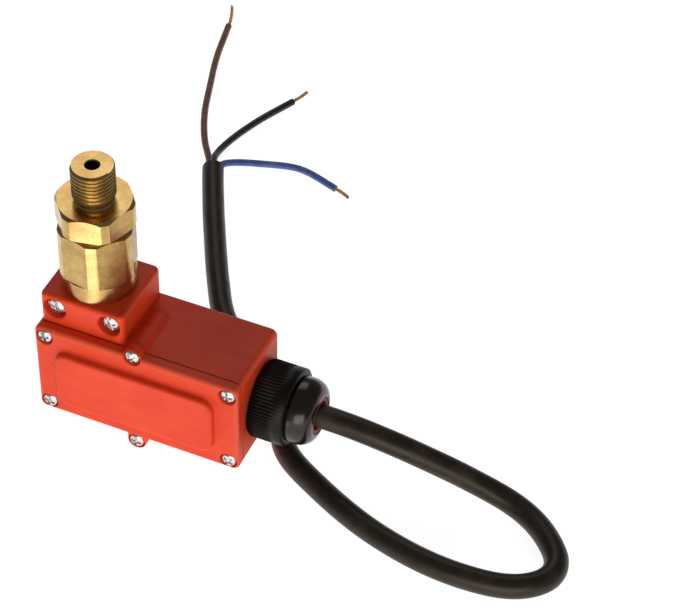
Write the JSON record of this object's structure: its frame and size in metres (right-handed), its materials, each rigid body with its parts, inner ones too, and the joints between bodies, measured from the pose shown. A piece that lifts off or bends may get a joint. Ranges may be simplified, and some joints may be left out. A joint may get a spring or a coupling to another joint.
{
  "type": "pressure switch",
  "caption": "Pressure switch: threaded brass fitting with a sprung piston, clamped in a flat plastic box with a side cable gland and a short cable with bare ends",
  "frame": {"origin": "on the pipe thread's axis, level with the shoulder that the thread seats against", "axes": "+Z out along the thread, +X towards the cable gland, -Y towards the cover"},
  "size_m": [0.2051, 0.2227, 0.095],
  "materials": {
    "brass": "satin, machined",
    "spring_brass": "satin, rolled strip",
    "copper": "bare copper",
    "steel": "ground",
    "zinc_steel": "zinc plated",
    "red_plastic": "satin moulded, filled",
    "black_nylon": "matt moulded",
    "gloss_nylon": "polished moulded",
    "switch_plastic": "moulded",
    "button_plastic": "moulded",
    "red_rubber": "soft, matt",
    "black_rubber": "soft, matt",
    "sheath_pvc": "satin extruded",
    "brown_pvc": "satin extruded",
    "black_pvc": "satin extruded",
    "blue_pvc": "satin extruded"
  },
  "bodies": {
    "fitting": {"port_stem": "brass", "joint_washer": "copper", "spring_body": "brass", "neck_seal": "black_rubber", "adjuster_ring": "brass", "main_spring": "steel"},
    "plunger": {"piston": "steel", "piston_seal": "black_rubber", "spring_guide": "steel"},
    "switch_box": {"housing": "red_plastic", "clamp_screws": "zinc_steel", "cover_gasket": "black_rubber", "cover": "red_plastic", "cover_screws": "zinc_steel", "switch_case": "switch_plastic", "switch_lid": "switch_plastic", "switch_screws": "zinc_steel", "leaf_pin": "steel", "terminal_common": "spring_brass", "terminal_closed": "spring_brass", "terminal_open": "spring_brass", "crimp_receptacles": "zinc_steel", "lead_common": "brown_pvc", "lead_closed": "blue_pvc", "lead_open": "black_pvc", "gland_washer": "black_rubber", "gland_body": "black_nylon", "thrust_ring": "black_nylon", "gland_seal": "red_rubber", "gland_nut": "gloss_nylon", "cable_tail": "sheath_pvc", "cable": "sheath_pvc", "core_brown": "brown_pvc", "core_black": "black_pvc", "core_blue": "blue_pvc", "copper_brown": "copper", "copper_black": "copper", "copper_blue": "copper"},
    "button": {"switch_button": "button_plastic"},
    "leaf": {"contact_leaf": "spring_brass"}
  },
  "joints": [
    {"name": "box_swivel", "type": "hinge", "parent": "fitting", "child": "switch_box", "pos_m": [0, 0, -0.0374], "axis": [0, 0, 1], "range_deg": [-180, 180]},
    {"name": "plunger_slide", "type": "slide", "parent": "fitting", "child": "plunger", "axis": [0, 0, -1], "range_m": [0, 0.0012], "stiffness_N_per_m": 15000, "springref_m": -0.004, "deforming": ["main_spring"]},
    {"name": "button_slide", "type": "slide", "parent": "switch_box", "child": "button", "axis": [0, 0, -1], "range_m": [0, 0.0014], "stiffness_N_per_m": 300, "springref_m": -0.001},
    {"name": "leaf_hinge", "type": "hinge", "parent": "switch_box", "child": "leaf", "pos_m": [0.0162, 0, -0.054], "axis": [0, -1, 0], "range_deg": [0, 5]}
  ],
  "couplings": [
    {"joint": "button_slide", "follows": "plunger_slide", "ratio": 1},
    {"joint": "leaf_hinge", "follows": "plunger_slide", "rad_per_m": 61.728}
  ]
}
